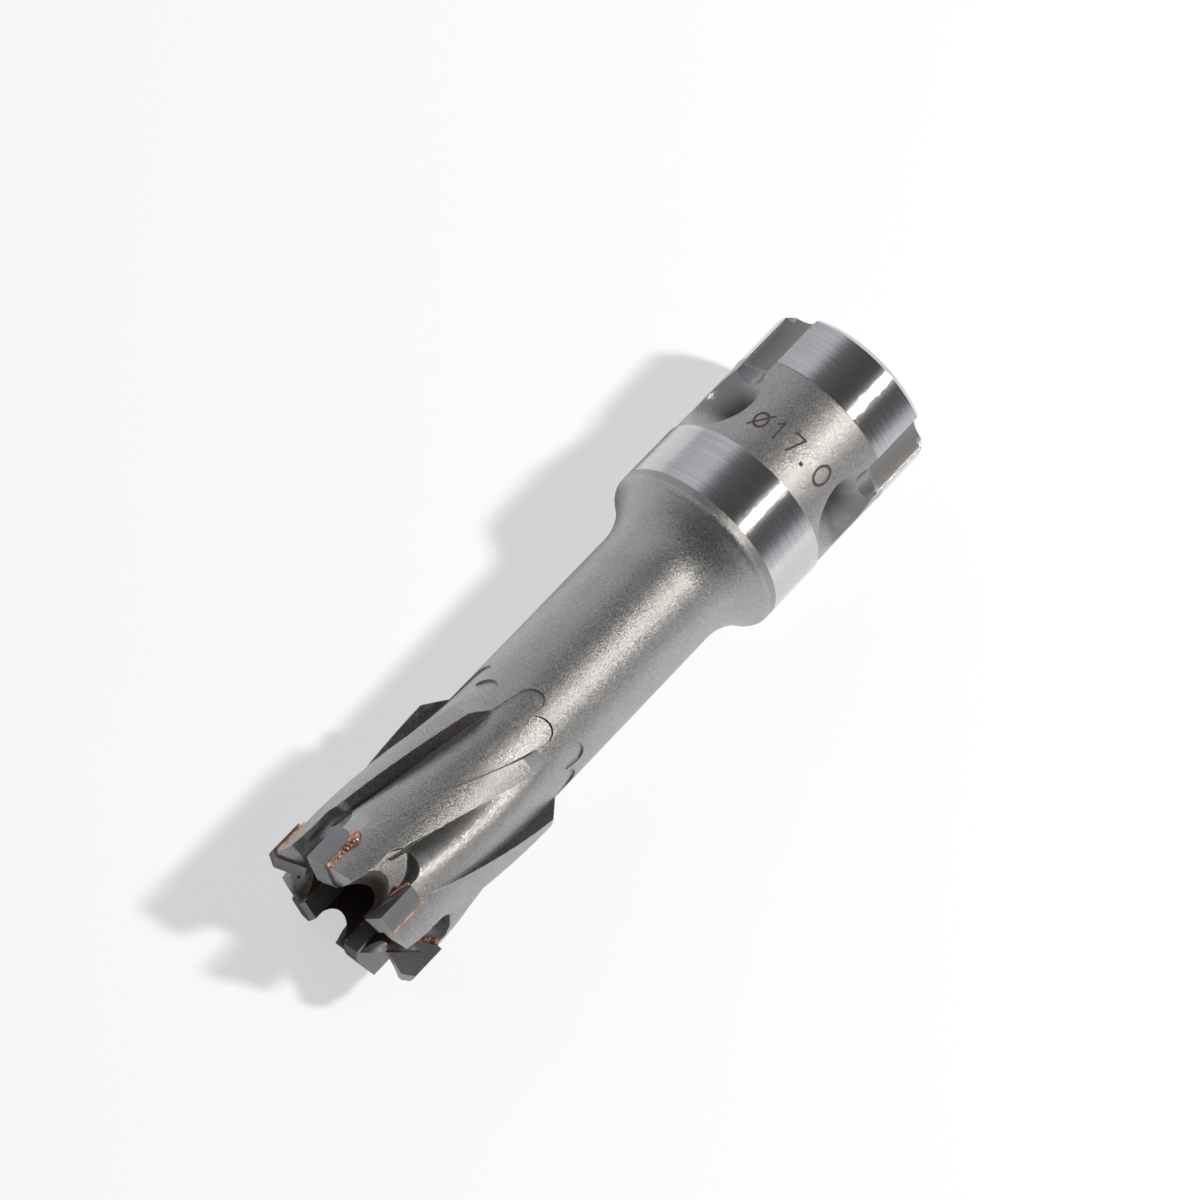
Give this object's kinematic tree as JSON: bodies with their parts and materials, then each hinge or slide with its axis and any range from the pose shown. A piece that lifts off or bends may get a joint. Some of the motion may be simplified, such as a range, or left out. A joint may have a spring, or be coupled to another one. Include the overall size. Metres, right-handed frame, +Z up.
{
  "type": "annular cutter",
  "caption": "Hollow hole cutter with helical flutes, brazed carbide tips and a grooved quick-change shank, lying on its side.",
  "frame": {"origin": "centre of the bounding box at floor level, with the cutter lying at rest", "axes": "+X along the cutter from the tips toward the shank, +Z up from the floor"},
  "size_m": [0.072, 0.018, 0.0184],
  "materials": {
    "blasted_steel": "bead-blasted, with ground collar and rear ring",
    "carbide": "ground",
    "braze": "as brazed"
  },
  "bodies": {
    "root": {"cutter_body": "blasted_steel", "carbide_tip_1": "carbide", "carbide_tip_2": "carbide", "carbide_tip_3": "carbide", "carbide_tip_4": "carbide", "carbide_tip_5": "carbide", "carbide_tip_6": "carbide", "braze_joint_1": "braze", "braze_joint_2": "braze", "braze_joint_3": "braze", "braze_joint_4": "braze", "braze_joint_5": "braze", "braze_joint_6": "braze"}
  },
  "joints": []
}
